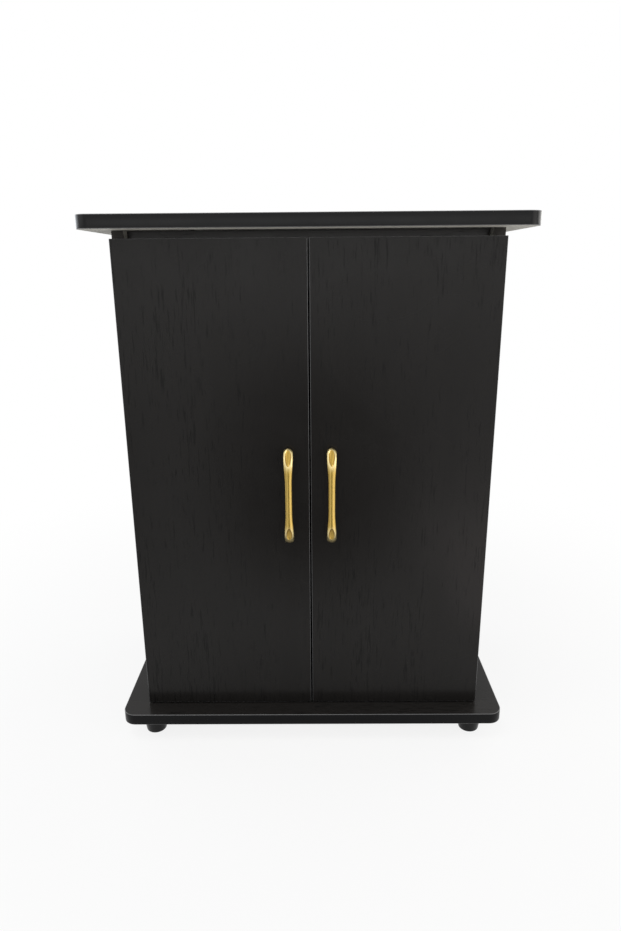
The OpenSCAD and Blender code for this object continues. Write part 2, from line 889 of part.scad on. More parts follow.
// Short link, in the middle: its eye at the cup is the linkage's open pivot
module short_links() {
    color(steel) at_hinges() difference() {
        translate([0, 0, -short_half]) linear_extrude(2 * short_half) {
            translate(arm_pin_short) circle(eye_r);
            translate(cup_pin_short) circle(open_r + 1);
            strap(arm_pin_short, cup_pin_short, link_w + 0.2);
        }
        translate([arm_pin_short[0], arm_pin_short[1], -short_half - 1])
            cylinder(r = axle_r + axle_play, h = 2 * short_half + 2);
        translate([cup_pin_short[0], cup_pin_short[1], -short_half - 1])
            cylinder(r = open_r, h = 2 * short_half + 2);
    }
}

module left_short_links() {
    short_links();
}

module right_short_links() {
    mirror([1, 0, 0]) short_links();
}

// Pressed cup with a winged flange and two cheeks inside for the pins
module hinge_cups() {
    color(steel) at_hinges() difference() {
        union() {
            difference() {
                union() {
                    translate([cup_u, cup_mouth, 0]) rotate([90, 0, 0]) cylinder(r = cup_r, h = cup_depth);
                    translate([0, cup_mouth + flange_cup_t, 0]) rotate([90, 0, 0])
                        linear_extrude(flange_cup_t) cup_flange();
                }
                translate([cup_u, cup_mouth + 5, 0]) rotate([90, 0, 0])
                    cylinder(r = cavity_r, h = cup_mouth + 5 - cup_floor);
            }
            cheeks(cheek_half, cheek_t) pin_cheek();
        }
        for (p = [cup_pin_long, cup_pin_short]) translate([p[0], p[1], -cheek_half - cheek_t - 1])
            cylinder(r = axle_r + 0.02, h = 2 * (cheek_half + cheek_t + 1));
        at_cup_screws() translate([0, 0, -flange_cup_t - 1])
            cylinder(d = cup_screw_d + 2 * fit_play, h = flange_cup_t + 2);
    }
}

// The flange ends before the side panel's edge, so that the door can swing past it
module cup_flange() {
    intersection() {
        union() {
            translate([cup_u, 0]) circle(cup_r + 1.2);
            translate([cup_u, -cup_screw_w]) square([flange_w, 2 * cup_screw_w]);
            for (w = [-cup_screw_w, cup_screw_w]) translate([cup_screw_u, w]) circle(flange_end_r);
        }
        translate([1, -cup_screw_w - flange_w]) square([cup_d, 2 * (cup_screw_w + flange_w)]);
    }
}

module pin_cheek() {
    r = axle_r + 1;
    u0 = cup_pin_long[0] - r;
    translate(cup_pin_long) circle(r);
    translate(cup_pin_short) circle(r);
    translate([u0, cup_floor - cup_wall / 2])
        square([cup_pin_short[0] + r - u0, cup_pin_short[1] - cup_floor + cup_wall / 2]);
    translate([u0, cup_pin_short[1] - eps]) square([2 * r, cup_pin_long[1] - cup_pin_short[1] + eps]);
}

module left_hinge_cups() {
    hinge_cups();
}

module right_hinge_cups() {
    mirror([1, 0, 0]) hinge_cups();
}

// The long link's pins are two stubs; the short link's pin goes right across
module cup_pins() {
    w = cheek_half + cheek_t;
    color(steel) at_hinges() {
        axle(cup_pin_short, -w, w);
        for (s = [0, 1]) mirror([0, 0, s]) axle(cup_pin_long, short_half + 0.2, w);
    }
}

module left_cup_pins() {
    cup_pins();
}

module right_cup_pins() {
    mirror([1, 0, 0]) cup_pins();
}

module cup_screws() {
    color(steel) at_hinges() at_cup_screws() translate([0, 0, -flange_cup_t]) rotate([180, 0, 0])
        pan_screw(cup_screw_d, cup_screw_len + flange_cup_t, 2);
}

module left_cup_screws() {
    cup_screws();
}

module right_cup_screws() {
    mirror([1, 0, 0]) cup_screws();
}

top_board();
top_edge_band();
base_board();
base_edge_band();
left_side_panel();
right_side_panel();
left_panel_band();
right_panel_band();
front_rail();
rear_rail();
back_panel();
left_hose_grommet();
right_hose_grommet();
shelf();
shelf_band();
shelf_pins();
cam_discs();
cam_bolts();
dowels();
front_left_foot();
front_right_foot();
rear_left_foot();
rear_right_foot();
foot_screws();
left_door();
right_door();
left_door_band();
right_door_band();
left_handle();
right_handle();
left_handle_screws();
right_handle_screws();
left_hinge_plates();
right_hinge_plates();
left_hinge_arms();
right_hinge_arms();
left_plate_screws();
right_plate_screws();
left_arm_pins();
right_arm_pins();
left_long_links();
right_long_links();
left_short_links();
right_short_links();
left_hinge_cups();
right_hinge_cups();
left_cup_pins();
right_cup_pins();
left_cup_screws();
right_cup_screws();
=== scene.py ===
import json
import math
from functools import lru_cache

import bmesh
import bpy
from mathutils import Matrix, Vector

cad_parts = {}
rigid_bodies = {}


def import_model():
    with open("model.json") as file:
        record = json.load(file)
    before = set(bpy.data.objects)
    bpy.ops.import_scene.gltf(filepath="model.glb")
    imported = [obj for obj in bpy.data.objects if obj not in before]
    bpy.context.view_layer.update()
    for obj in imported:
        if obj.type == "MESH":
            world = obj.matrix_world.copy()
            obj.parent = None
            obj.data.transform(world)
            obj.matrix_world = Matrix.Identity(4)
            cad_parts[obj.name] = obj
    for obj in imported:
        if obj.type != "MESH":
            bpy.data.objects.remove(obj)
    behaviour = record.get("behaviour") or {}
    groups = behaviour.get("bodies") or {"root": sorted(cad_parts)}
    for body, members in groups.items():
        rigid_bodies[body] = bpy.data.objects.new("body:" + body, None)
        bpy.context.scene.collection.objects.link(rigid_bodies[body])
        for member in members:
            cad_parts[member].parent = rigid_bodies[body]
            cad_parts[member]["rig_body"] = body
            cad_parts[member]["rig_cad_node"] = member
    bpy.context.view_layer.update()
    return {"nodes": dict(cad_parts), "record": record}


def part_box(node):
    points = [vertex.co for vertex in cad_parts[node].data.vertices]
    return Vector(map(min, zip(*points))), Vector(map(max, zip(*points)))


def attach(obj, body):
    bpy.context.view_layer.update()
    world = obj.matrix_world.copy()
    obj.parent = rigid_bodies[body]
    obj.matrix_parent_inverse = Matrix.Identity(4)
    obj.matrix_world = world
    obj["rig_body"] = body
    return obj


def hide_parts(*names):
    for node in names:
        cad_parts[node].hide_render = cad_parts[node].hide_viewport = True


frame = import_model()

mm = 0.001
touching = 1e-6    # metres within which two points are one

record = frame["record"]
slotOf = {part["node"]: part["material_slot"] for part in record["subparts"]}
bodyOf = {node: body for body, nodes in record["behaviour"]["bodies"].items() for node in nodes}
print("frame loaded:", len(frame["nodes"]), "nodes")


# Modelling helpers, each one what a hand would do in the viewport
def startBlock(name, low, high):
    bpy.ops.object.select_all(action="DESELECT")
    middle = (low + high) / 2
    bpy.ops.mesh.primitive_cube_add(size=1, location=middle, scale=high - low)
    bpy.ops.object.transform_apply(location=True, rotation=True, scale=True)
    piece = bpy.context.object
    piece.name = name
    piece.data.name = name
    return piece


def edit(kind="FACE"):
    bpy.ops.object.mode_set(mode="EDIT")
    bpy.ops.mesh.select_mode(type=kind)


def leave():
    bpy.ops.object.mode_set(mode="OBJECT")


# Selects only the faces or edges that pass the test
def pick(piece, kind, test):
    bpy.ops.mesh.select_all(action="DESELECT")
    mesh = bmesh.from_edit_mesh(piece.data)
    mesh.normal_update()
    for part in getattr(mesh, kind):
        if test(part):
            part.select_set(True)
    bmesh.update_edit_mesh(piece.data)


def middleOf(part):
    spots = [vert.co for vert in part.verts]
    return sum(spots, Vector()) / len(spots)


def runsAlong(edge, axis):
    return abs((edge.verts[0].co - edge.verts[1].co).normalized()[axis]) > 0.9


def facesAlong(face, axis):
    return abs(face.normal[axis]) > 0.9


def choose(piece):
    bpy.ops.object.select_all(action="DESELECT")
    piece.select_set(True)
    bpy.context.view_layer.objects.active = piece


def modify(piece, kind, **settings):
    choose(piece)
    modifier = piece.modifiers.new(kind.title(), kind)
    for name, value in settings.items():
        setattr(modifier, name, value)
    bpy.ops.object.modifier_apply(modifier=modifier.name)


def shade(piece, degrees=35):
    choose(piece)
    bpy.ops.object.shade_smooth_by_angle(angle=math.radians(degrees))


# The finished piece takes the node's place and body, and the given finish
def standIn(piece, node, material):
    piece.data.materials.clear()
    piece.data.materials.append(material)
    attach(piece, bodyOf[node])
    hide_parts(node)


# Shader helpers: put makes a node and sets or links its inputs
def put(tree, kind, x, y, inputs=None, **options):
    made = tree.nodes.new(kind)
    made.location = (x, y)
    for name, value in options.items():
        setattr(made, name, value)
    for name, value in (inputs or {}).items():
        if isinstance(value, bpy.types.NodeSocket):
            tree.links.new(value, made.inputs[name])
        else:
            made.inputs[name].default_value = value
    return made


def newGroup(name, inputs, outputs):
    group = bpy.data.node_groups.new(name, "ShaderNodeTree")
    for label, kind in inputs.items():
        group.interface.new_socket(label, in_out="INPUT", socket_type="NodeSocket" + kind)
    for label, kind in outputs.items():
        group.interface.new_socket(label, in_out="OUTPUT", socket_type="NodeSocket" + kind)
    entry = put(group, "NodeGroupInput", -1000, 0)
    leaving = put(group, "NodeGroupOutput", 800, 0)
    return group, entry.outputs, leaving.inputs


def placeGroup(tree, group, x, y, inputs):
    return put(tree, "ShaderNodeGroup", x, y, inputs, node_tree=group).outputs


def newMaterial(name, constants):
    material = bpy.data.materials.new(name)
    material.use_nodes = True
    tree = material.node_tree
    shader = tree.nodes["Principled BSDF"]
    for label, value in constants.items():
        shader.inputs[label].default_value = value
    spot = put(tree, "ShaderNodeTexCoord", -1500, 0).outputs["Object"]
    return material, tree, shader, spot


# Pores of pressed woodgrain: short strokes along the grain, gathered in loose fields
grainShape = {
    "strokeDetail": 2.5, "strokeRoughness": 0.6, "fieldDetail": 3.0, "fieldRoughness": 0.55,
    "fieldTwist": 0.6, "fieldRange": (0.35, 0.7), "fieldLift": 0.07, "poreRange": (0.58, 0.68),
}


def makeGrainGroup():
    g = grainShape
    group, given, result = newGroup("woodgrainPores",
                                    {"Position": "Vector", "Stretch": "Vector", "Fields": "Vector"},
                                    {"Pores": "Float", "Tone": "Float"})
    fine = put(group, "ShaderNodeVectorMath", -800, 200, operation="MULTIPLY",
               inputs={0: given["Position"], 1: given["Stretch"]})
    wide = put(group, "ShaderNodeVectorMath", -800, -200, operation="MULTIPLY",
               inputs={0: given["Position"], 1: given["Fields"]})
    stroke = put(group, "ShaderNodeTexNoise", -600, 200,
                 inputs={"Vector": fine.outputs[0], "Scale": 1.0, "Detail": g["strokeDetail"],
                         "Roughness": g["strokeRoughness"]})
    field = put(group, "ShaderNodeTexNoise", -600, -200,
                inputs={"Vector": wide.outputs[0], "Scale": 1.0, "Detail": g["fieldDetail"],
                        "Roughness": g["fieldRoughness"], "Distortion": g["fieldTwist"]})
    gathered = put(group, "ShaderNodeMapRange", -380, -200,
                   inputs={"Value": field.outputs["Fac"], "From Min": g["fieldRange"][0],
                           "From Max": g["fieldRange"][1], "To Min": -g["fieldLift"],
                           "To Max": g["fieldLift"]})
    lifted = put(group, "ShaderNodeMath", -180, 120, operation="ADD",
                 inputs={0: stroke.outputs["Fac"], 1: gathered.outputs["Result"]})
    pores = put(group, "ShaderNodeMapRange", 220, 120, interpolation_type="SMOOTHSTEP",
                inputs={"Value": lifted.outputs[0], "From Min": g["poreRange"][0],
                        "From Max": g["poreRange"][1]})
    group.links.new(pores.outputs["Result"], result["Pores"])
    group.links.new(field.outputs["Fac"], result["Tone"])
    return group


# What hands and cloths leave on a finish: broad cloudy marks and a little fine speckle
marksShape = {
    "detail": 4.0, "roughness": 0.6, "twist": 0.8, "range": (0.35, 0.7), "speckleFiner": 60.0,
    "speckleDetail": 2.0,
}


def makeMarksGroup():
    m = marksShape
    group, given, result = newGroup("handlingMarks", {"Position": "Vector", "Size": "Float"},
                                    {"Marks": "Float", "Speckle": "Float"})
    cloud = put(group, "ShaderNodeTexNoise", -600, 150,
                inputs={"Vector": given["Position"], "Scale": given["Size"], "Detail": m["detail"],
                        "Roughness": m["roughness"], "Distortion": m["twist"]})
    marks = put(group, "ShaderNodeMapRange", -300, 150, interpolation_type="SMOOTHSTEP",
                inputs={"Value": cloud.outputs["Fac"], "From Min": m["range"][0], "From Max": m["range"][1]})
    finer = put(group, "ShaderNodeMath", -800, -150, operation="MULTIPLY",
                inputs={0: given["Size"], 1: m["speckleFiner"]})
    dots = put(group, "ShaderNodeTexNoise", -600, -150,
               inputs={"Vector": given["Position"], "Scale": finer.outputs[0], "Detail": m["speckleDetail"]})
    group.links.new(marks.outputs["Result"], result["Marks"])
    group.links.new(dots.outputs["Fac"], result["Speckle"])
    return group


# Texture of a cast, moulded or pressed skin: a fine grain on a broader wave
skinShape = {"grainDetail": 3.0, "grainRoughness": 0.65, "waveShare": 0.12, "waveDetail": 1.0}


def makeSkinGroup():
    k = skinShape
    group, given, result = newGroup("surfaceSkin", {"Position": "Vector", "Grain": "Float"},
                                    {"Height": "Float"})
    fine = put(group, "ShaderNodeTexNoise", -500, 150,
               inputs={"Vector": given["Position"], "Scale": given["Grain"], "Detail": k["grainDetail"],
                       "Roughness": k["grainRoughness"]})
    broad = put(group, "ShaderNodeMath", -700, -150, operation="MULTIPLY",
                inputs={0: given["Grain"], 1: k["waveShare"]})
    wave = put(group, "ShaderNodeTexNoise", -500, -150,
               inputs={"Vector": given["Position"], "Scale": broad.outputs[0], "Detail": k["waveDetail"]})
    height = put(group, "ShaderNodeMath", 0, 0, operation="ADD",
                 inputs={0: fine.outputs["Fac"], 1: wave.outputs["Fac"]})
    group.links.new(height.outputs[0], result["Height"])
    return group


grainGroup = makeGrainGroup()
marksGroup = makeMarksGroup()
skinGroup = makeSkinGroup()
print("shader groups ready")

# Laminate in black woodgrain, its gloss set for each use; its tones are lifted by a different amount for each
# use, so that some copies carry painted light
laminateLook = {
    "dark": (0.0062, 0.0057, 0.0053),
    "light": (0.0095, 0.0088, 0.0083),
    "pore": (0.0036, 0.0033, 0.0031),
    "roughness": (0.23, 0.30),
    "strokes": (520.0, 30.0),    # for each metre across and along the grain, so they are 2 mm wide
    "fields": (16.0, 2.4),       # the same for the loose fields that gather them
    "marksSize": 5.0,
    "poreRoughness": 0.10,
    "poreDepth": 0.03 * mm,
    "bumpStrength": 0.5,
}


def makeLaminate(name, grainAxis, lift, specular):
    look = laminateLook
    dark, light, pore = [[value * lift for value in look[key]] + [1] for key in ("dark", "light", "pore")]
    material, tree, shader, spot = newMaterial(name, {"Specular IOR Level": specular})
    stretch, fields = [[look[key][int(axis == grainAxis)] for axis in range(3)]
                       for key in ("strokes", "fields")]
    grain = placeGroup(tree, grainGroup, -1200, 200,
                       {"Position": spot, "Stretch": stretch, "Fields": fields})
    marks = placeGroup(tree, marksGroup, -1200, -200, {"Position": spot, "Size": look["marksSize"]})
    toned = put(tree, "ShaderNodeMix", -800, 300, data_type="RGBA",
                inputs={0: grain["Tone"], 6: dark, 7: light})
    pored = put(tree, "ShaderNodeMix", -500, 300, data_type="RGBA",
                inputs={0: grain["Pores"], 6: toned.outputs[2], 7: pore})
    low, high = look["roughness"]
    rough = put(tree, "ShaderNodeMapRange", -800, -100,
                inputs={"Value": marks["Marks"], "To Min": low, "To Max": high})
    rougher = put(tree, "ShaderNodeMath", -500, -100, operation="MULTIPLY_ADD",
                  inputs={0: grain["Pores"], 1: look["poreRoughness"], 2: rough.outputs["Result"]})
    sunk = put(tree, "ShaderNodeMath", -500, -350, operation="MULTIPLY_ADD",
               inputs={0: grain["Pores"], 1: -1.0, 2: marks["Speckle"]})
    bump = put(tree, "ShaderNodeBump", -250, -350,
               inputs={"Height": sunk.outputs[0], "Strength": look["bumpStrength"],
                       "Distance": look["poreDepth"]})
    tree.links.new(pored.outputs[2], shader.inputs["Base Color"])
    tree.links.new(rougher.outputs[0], shader.inputs["Roughness"])
    tree.links.new(bump.outputs["Normal"], shader.inputs["Normal"])
    return material


# Tone that turns to another one from one distance along z to the next; on the handles, a paler gold at the
# heads as a painted highlight
def paleEndsPaintedHighlight(tree, spot, tone, ends):
    parts = put(tree, "ShaderNodeSeparateXYZ", -1200, 600, inputs={0: spot})
    off = put(tree, "ShaderNodeMath", -1000, 600, operation="SUBTRACT",
              inputs={0: parts.outputs["Z"], 1: ends["middle"]})
    away = put(tree, "ShaderNodeMath", -800, 600, operation="ABSOLUTE", inputs={0: off.outputs[0]})
    share = put(tree, "ShaderNodeMapRange", -600, 600, interpolation_type="SMOOTHSTEP",
                inputs={"Value": away.outputs[0], "From Min": ends["near"], "From Max": ends["far"]})
    return put(tree, "ShaderNodeMix", -400, 500, data_type="RGBA",
               inputs={0: share.outputs["Result"], 6: tone, 7: ends["tone"] + (1,)}).outputs[2]


# A plain surface of one stuff: two tones, a roughness that handling varies, and a fine skin
def makeFinish(name, tones, roughness, grain, depth, marksSize=8.0, ends=None, **constants):
    labels = {"specular": "Specular IOR Level", "metallic": "Metallic", "coat": "Coat Weight",
              "coatRoughness": "Coat Roughness"}
    material, tree, shader, spot = newMaterial(name, {labels[key]: value for key, value in constants.items()})
    marks = placeGroup(tree, marksGroup, -1200, 100, {"Position": spot, "Size": marksSize})
    skin = placeGroup(tree, skinGroup, -1200, -300, {"Position": spot, "Grain": grain})
    toned = put(tree, "ShaderNodeMix", -700, 300, data_type="RGBA",
                inputs={0: marks["Speckle"], 6: tones[0] + (1,), 7: tones[1] + (1,)})
    rough = put(tree, "ShaderNodeMapRange", -700, 0,
                inputs={"Value": marks["Marks"], "To Min": roughness[0], "To Max": roughness[1]})
    bump = put(tree, "ShaderNodeBump", -400, -300,
               inputs={"Height": skin["Height"], "Strength": skinBump, "Distance": depth})
    tone = paleEndsPaintedHighlight(tree, spot, toned.outputs[2], ends) if ends else toned.outputs[2]
    tree.links.new(tone, shader.inputs["Base Color"])
    tree.links.new(rough.outputs["Result"], shader.inputs["Roughness"])
    tree.links.new(bump.outputs["Normal"], shader.inputs["Normal"])
    return material


doorLaminate = makeLaminate("uprightLaminate", grainAxis=2, lift=1.4, specular=0.165)
# Painted light: the flat boards' copy is lifted brighter than the doors', and the rail's brighter still, as
# painted light in its shaded gap above the doors
paintedLitBoardLaminate = makeLaminate("flatLaminate", grainAxis=0, lift=2.2, specular=0.15)
railLaminate = makeLaminate("railLaminate", grainAxis=0, lift=4.4, specular=0.2)

# Grain is in specks for each metre, depth in metres
skinBump = 0.6
handleLow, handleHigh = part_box("left_handle")
blackBand = {"tones": ((0.0035, 0.0035, 0.0038), (0.005, 0.005, 0.0054)), "roughness": (0.20, 0.29),
             "grain": 900.0, "depth": 0.004 * mm}
finishes = {
    "edgeBandGloss": blackBand | {"specular": 0.19},
    "baseBandGloss": blackBand | {"specular": 0.15},
    # Pale grey on the rounded arrises: a painted highlight
    "scrapedArris": {"tones": ((0.072, 0.072, 0.074), (0.055, 0.055, 0.057)), "roughness": (0.26, 0.36),
                     "grain": 900.0, "depth": 0.004 * mm, "specular": 0.8},
    "panelBandSatin": {"tones": ((0.026, 0.023, 0.020), (0.031, 0.027, 0.024)), "roughness": (0.45, 0.55),
                       "grain": 900.0, "depth": 0.004 * mm, "specular": 0.3},
    "goldPlate": {"tones": ((0.61, 0.41, 0.075), (0.58, 0.39, 0.070)), "roughness": (0.31, 0.35),
                  "grain": 2500.0, "depth": 0.0005 * mm, "marksSize": 25.0, "metallic": 1.0, "coat": 1.0,
                  "coatRoughness": 0.18,
                  # The paler tone at the handle's ends is a painted highlight
                  "ends": {"middle": (handleLow.z + handleHigh.z) / 2, "near": 38 * mm, "far": 54 * mm,
                           "tone": (0.76, 0.61, 0.27)}},
    # Darker gold in the scoops: painted shade in the hollows
    "goldRecess": {"tones": ((0.46, 0.295, 0.046), (0.43, 0.275, 0.042)), "roughness": (0.34, 0.40),
                   "grain": 2500.0, "depth": 0.0005 * mm, "marksSize": 25.0, "metallic": 1.0, "coat": 0.6,
                   "coatRoughness": 0.25},
    "nickelPlate": {"tones": ((0.60, 0.585, 0.55), (0.54, 0.53, 0.50)), "roughness": (0.20, 0.32),
                    "grain": 3000.0, "depth": 0.004 * mm, "marksSize": 30.0, "metallic": 1.0},
    "castZinc": {"tones": ((0.44, 0.44, 0.45), (0.36, 0.36, 0.37)), "roughness": (0.42, 0.58),
                 "grain": 2500.0, "depth": 0.012 * mm, "marksSize": 60.0, "metallic": 1.0},
    "glossyPlastic": {"tones": ((0.0025, 0.0025, 0.0027), (0.004, 0.004, 0.0042)), "roughness": (0.10, 0.16),
                      "grain": 1800.0, "depth": 0.006 * mm, "marksSize": 20.0, "specular": 0.3},
    "mouldedPlastic": {"tones": ((0.010, 0.010, 0.0105), (0.014, 0.014, 0.0145)), "roughness": (0.30, 0.42),
                       "grain": 1800.0, "depth": 0.02 * mm, "marksSize": 20.0, "specular": 0.5},
    "beechWood": {"tones": ((0.58, 0.40, 0.22), (0.48, 0.31, 0.16)), "roughness": (0.5, 0.65),
                  "grain": 700.0, "depth": 0.05 * mm, "marksSize": 60.0, "specular": 0.4},
    "paleBacking": {"tones": ((0.46, 0.45, 0.405), (0.41, 0.40, 0.36)), "roughness": (0.62, 0.75),
                    "grain": 600.0, "depth": 0.03 * mm, "specular": 0.3},
    "brownHardboard": {"tones": ((0.050, 0.033, 0.021), (0.036, 0.024, 0.015)), "roughness": (0.6, 0.75),
                       "grain": 1200.0, "depth": 0.06 * mm, "marksSize": 12.0, "specular": 0.3},
}
finish = {name: makeFinish(name, **look) for name, look in finishes.items()}
print("materials ready")

slotFinish = {
    "laminate": paintedLitBoardLaminate, "edge_band": finish["edgeBandGloss"], "hardboard": finish["brownHardboard"],
    "gold_plate": finish["goldPlate"], "nickel_steel": finish["nickelPlate"], "zinc": finish["castZinc"],
    "beech": finish["beechWood"], "black_plastic": finish["mouldedPlastic"],
}
boardFinish = {
    "left_side_panel": doorLaminate, "right_side_panel": doorLaminate, "left_door": doorLaminate,
    "right_door": doorLaminate, "front_rail": railLaminate, "rear_rail": railLaminate,
}
# The boards are laminated on the side that shows, and have a plain pale backing on the other
backedSide = {
    "top_board": Vector((0, 0, -1)), "base_board": Vector((0, 0, -1)), "shelf": Vector((0, 0, -1)),
    "left_side_panel": Vector((1, 0, 0)), "right_side_panel": Vector((-1, 0, 0)),
    "left_door": Vector((0, 1, 0)), "right_door": Vector((0, 1, 0)), "front_rail": Vector((0, 1, 0)),
}
for name, node in frame["nodes"].items():
    node.data.materials.clear()
    node.data.materials.append(boardFinish.get(name, slotFinish[slotOf[name]]))
    if name in backedSide:
        node.data.materials.append(finish["paleBacking"])
        for face in node.data.polygons:
            face.material_index = 1 if face.normal.dot(backedSide[name]) > 0.5 else 0

# Edge bands: a ring round a board or a door, with its outer arrises rounded and painted pale grey as a
# painted highlight
boardBand = {"axis": 2, "wall": 1.0 * mm, "arris": 0.85 * mm, "corner": 20 * mm, "cornerCuts": 16,
             "frontOnly": True}
doorBand = {"axis": 1, "wall": 0.8 * mm, "arris": 0.65 * mm, "corner": 0.5 * mm, "cornerCuts": 3,
            "frontOnly": False}
arrisCuts = 4


def makeRing(name, node, material, band):
    axis = band["axis"]
    low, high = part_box(node)
    middle = (low + high) / 2
    piece = startBlock(name, low, high)
    edit("EDGE")
    pick(piece, "edges", lambda e: runsAlong(e, axis) and not (band["frontOnly"] and middleOf(e).y >= 0))
    bpy.ops.mesh.bevel(offset=band["corner"], segments=band["cornerCuts"], affect="EDGES")
    bpy.ops.mesh.select_mode(type="FACE")
    pick(piece, "faces", lambda f: facesAlong(f, axis))
    bpy.ops.mesh.inset(thickness=band["wall"], use_even_offset=True)
    bpy.ops.mesh.delete(type="ONLY_FACE")
    bpy.ops.mesh.select_mode(type="EDGE")
    pick(piece, "edges", lambda e: e.is_boundary)
    bpy.ops.mesh.bridge_edge_loops()
    bpy.ops.mesh.select_mode(type="EDGE")

    def outerRim(e):
        wallFaces = [f for f in e.link_faces if abs(f.normal[axis]) < 0.1]
        atEnd = min(abs(middleOf(e)[axis] - low[axis]), abs(middleOf(e)[axis] - high[axis])) < touching
        return atEnd and len(wallFaces) == 1 and wallFaces[0].normal.dot(middleOf(e) - middle) > 0

    pick(piece, "edges", outerRim)
    bpy.ops.mesh.bevel(offset=band["arris"], segments=arrisCuts, affect="EDGES")
    leave()
    shade(piece, 40)
    standIn(piece, node, material)
    # The arris faces take the pale grey painted highlight
    piece.data.materials.append(finish["scrapedArris"])
    for face in piece.data.polygons:
        face.material_index = 1 if 0.1 < abs(face.normal[axis]) < 0.99 else 0


makeRing("topEdgeBand", "top_edge_band", finish["edgeBandGloss"], boardBand)
makeRing("baseEdgeBand", "base_edge_band", finish["baseBandGloss"], boardBand)
for side in ("left", "right"):
    makeRing(side + "DoorBand", side + "_door_band", finish["edgeBandGloss"], doorBand)
print("edge bands ready")

# Straight strips of edge band on the panels' and the shelf's front edges
strip = {"arris": 0.45 * mm, "cuts": 3}
for name, node in (("leftPanelBand", "left_panel_band"), ("rightPanelBand", "right_panel_band"),
                   ("shelfBand", "shelf_band")):
    low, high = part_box(node)
    piece = startBlock(name, low, high)
    edit("EDGE")
    pick(piece, "edges", lambda e: abs(middleOf(e).y - low.y) < touching)
    bpy.ops.mesh.bevel(offset=strip["arris"], segments=strip["cuts"], affect="EDGES")
    leave()
    shade(piece)
    standIn(piece, node, finish["panelBandSatin"])
print("strips ready")


# A profile of (radius, height) points, spun round an axis
def makeTurned(name, centre, axis, profile, steps):
    bpy.ops.object.select_all(action="DESELECT")
    bpy.ops.mesh.primitive_plane_add(size=0.01, location=(0, 0, 0))
    piece = bpy.context.object
    piece.name = name
    piece.data.name = name
    sideways = Vector((1, 0, 0))
    spots = [centre + sideways * radius + axis * height for radius, height in profile]
    edit("VERT")
    bpy.ops.mesh.select_all(action="SELECT")
    bpy.ops.mesh.merge(type="CENTER")
    bpy.ops.transform.translate(value=spots[0])
    for last, spot in zip(spots, spots[1:]):
        bpy.ops.mesh.extrude_region_move(TRANSFORM_OT_translate={"value": spot - last})
    bpy.ops.mesh.select_all(action="SELECT")
    bpy.ops.mesh.spin(steps=steps, angle=2 * math.pi, center=centre, axis=axis)
    bpy.ops.mesh.select_all(action="SELECT")
    bpy.ops.mesh.remove_doubles(threshold=touching)
    bpy.ops.mesh.normals_make_consistent(inside=False)
    leave()
    return piece


# The points lie outwards and upwards from the top's or the floor's outer edge, in millimetres
footShape = {
    "floorRadius": 16 * mm, "wall": 3 * mm, "hollowDepth": 18 * mm, "screwRadius": 2.75 * mm, "steps": 96,
    "rim": ((-0.8, 0), (0, -0.8), (0, -3.5), (-0.5, -4.6), (-1.5, -5)),
    "toe": ((0.1, 2), (-0.2, 0.9), (-0.8, 0.3), (-1.5, 0)),
    "heel": 0.5 * mm,
}


def footProfile(height, top):
    f = footShape
    floor = f["floorRadius"]
    hollow = floor - f["wall"]
    profile = [(f["screwRadius"], height)]
    profile += [(top + out * mm, height + up * mm) for out, up in f["rim"]]
    profile += [(floor + out * mm, up * mm) for out, up in f["toe"]]
    profile += [(hollow + f["heel"], 0), (hollow, f["heel"]), (hollow, f["hollowDepth"]),
                (f["screwRadius"], f["hollowDepth"]), (f["screwRadius"], height)]
    return profile


for end in ("front", "rear"):
    for side in ("left", "right"):
        node = end + "_" + side + "_foot"
        low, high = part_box(node)
        centre = Vector(((low.x + high.x) / 2, (low.y + high.y) / 2, 0))
        piece = makeTurned(end + side.title() + "Foot", centre, Vector((0, 0, 1)),
                           footProfile(high.z, (high.x - low.x) / 2), footShape["steps"])
        shade(piece, 30)
        standIn(piece, node, finish["glossyPlastic"])
print("feet ready")

# Handles: a ring pulled along the bow from its middle to one end, then mirrored
handleShape = {
    "length": handleHigh.z - handleLow.z, "pitch": 128 * mm, "waist": 10.6 * mm,
    "head": handleHigh.x - handleLow.x, "widenBefore": 14 * mm, "widenRun": 40 * mm,
    "thickness": 8.4 * mm, "thinning": 1.4 * mm, "thinRun": 30 * mm,
    "bend": math.radians(42), "bendRun": 28 * mm, "cap": 9 * mm,
    "sides": 20, "straightSteps": 5, "bendSteps": 22, "crowding": 1.3,
}
# Each end's scoop (1 is the upper one): how far its middle lies from the end, and half its length
scoopShape = {
    "middle": {1: 16.2 * mm, -1: 22.8 * mm}, "half": {1: 12.3 * mm, -1: 10.4 * mm},
    "across": 5.0 * mm, "outwards": 5.0 * mm, "depth": 3.1 * mm, "flare": 0.16,
    "segments": 96, "rings": 64,
}
postShape = {
    "radius": 4.2 * mm, "baseRadius": 5.3 * mm, "baseRim": 0.8 * mm, "baseRound": 0.5 * mm,
    "baseShoulder": 1.5 * mm, "baseHeight": 2.4 * mm, "intoBow": 2.6 * mm, "steps": 48,
}


# Goes from 0 to 1 with a soft start and end
def ease(t):
    t = min(1, max(0, t))
    return t * t * (3 - 2 * t)


# Runs along the bow at which it starts to bend, and at which it reaches the handle's full length
def bowEnds():
    h = handleShape
    slices = 60
    mean = sum(math.cos(h["bend"] * ease((i + 0.5) / slices)) for i in range(slices)) / slices
    start = h["pitch"] / 2 - h["bendRun"]
    return start, start + (h["length"] / 2 - start) / mean


bendStart, bowEnd = bowEnds()


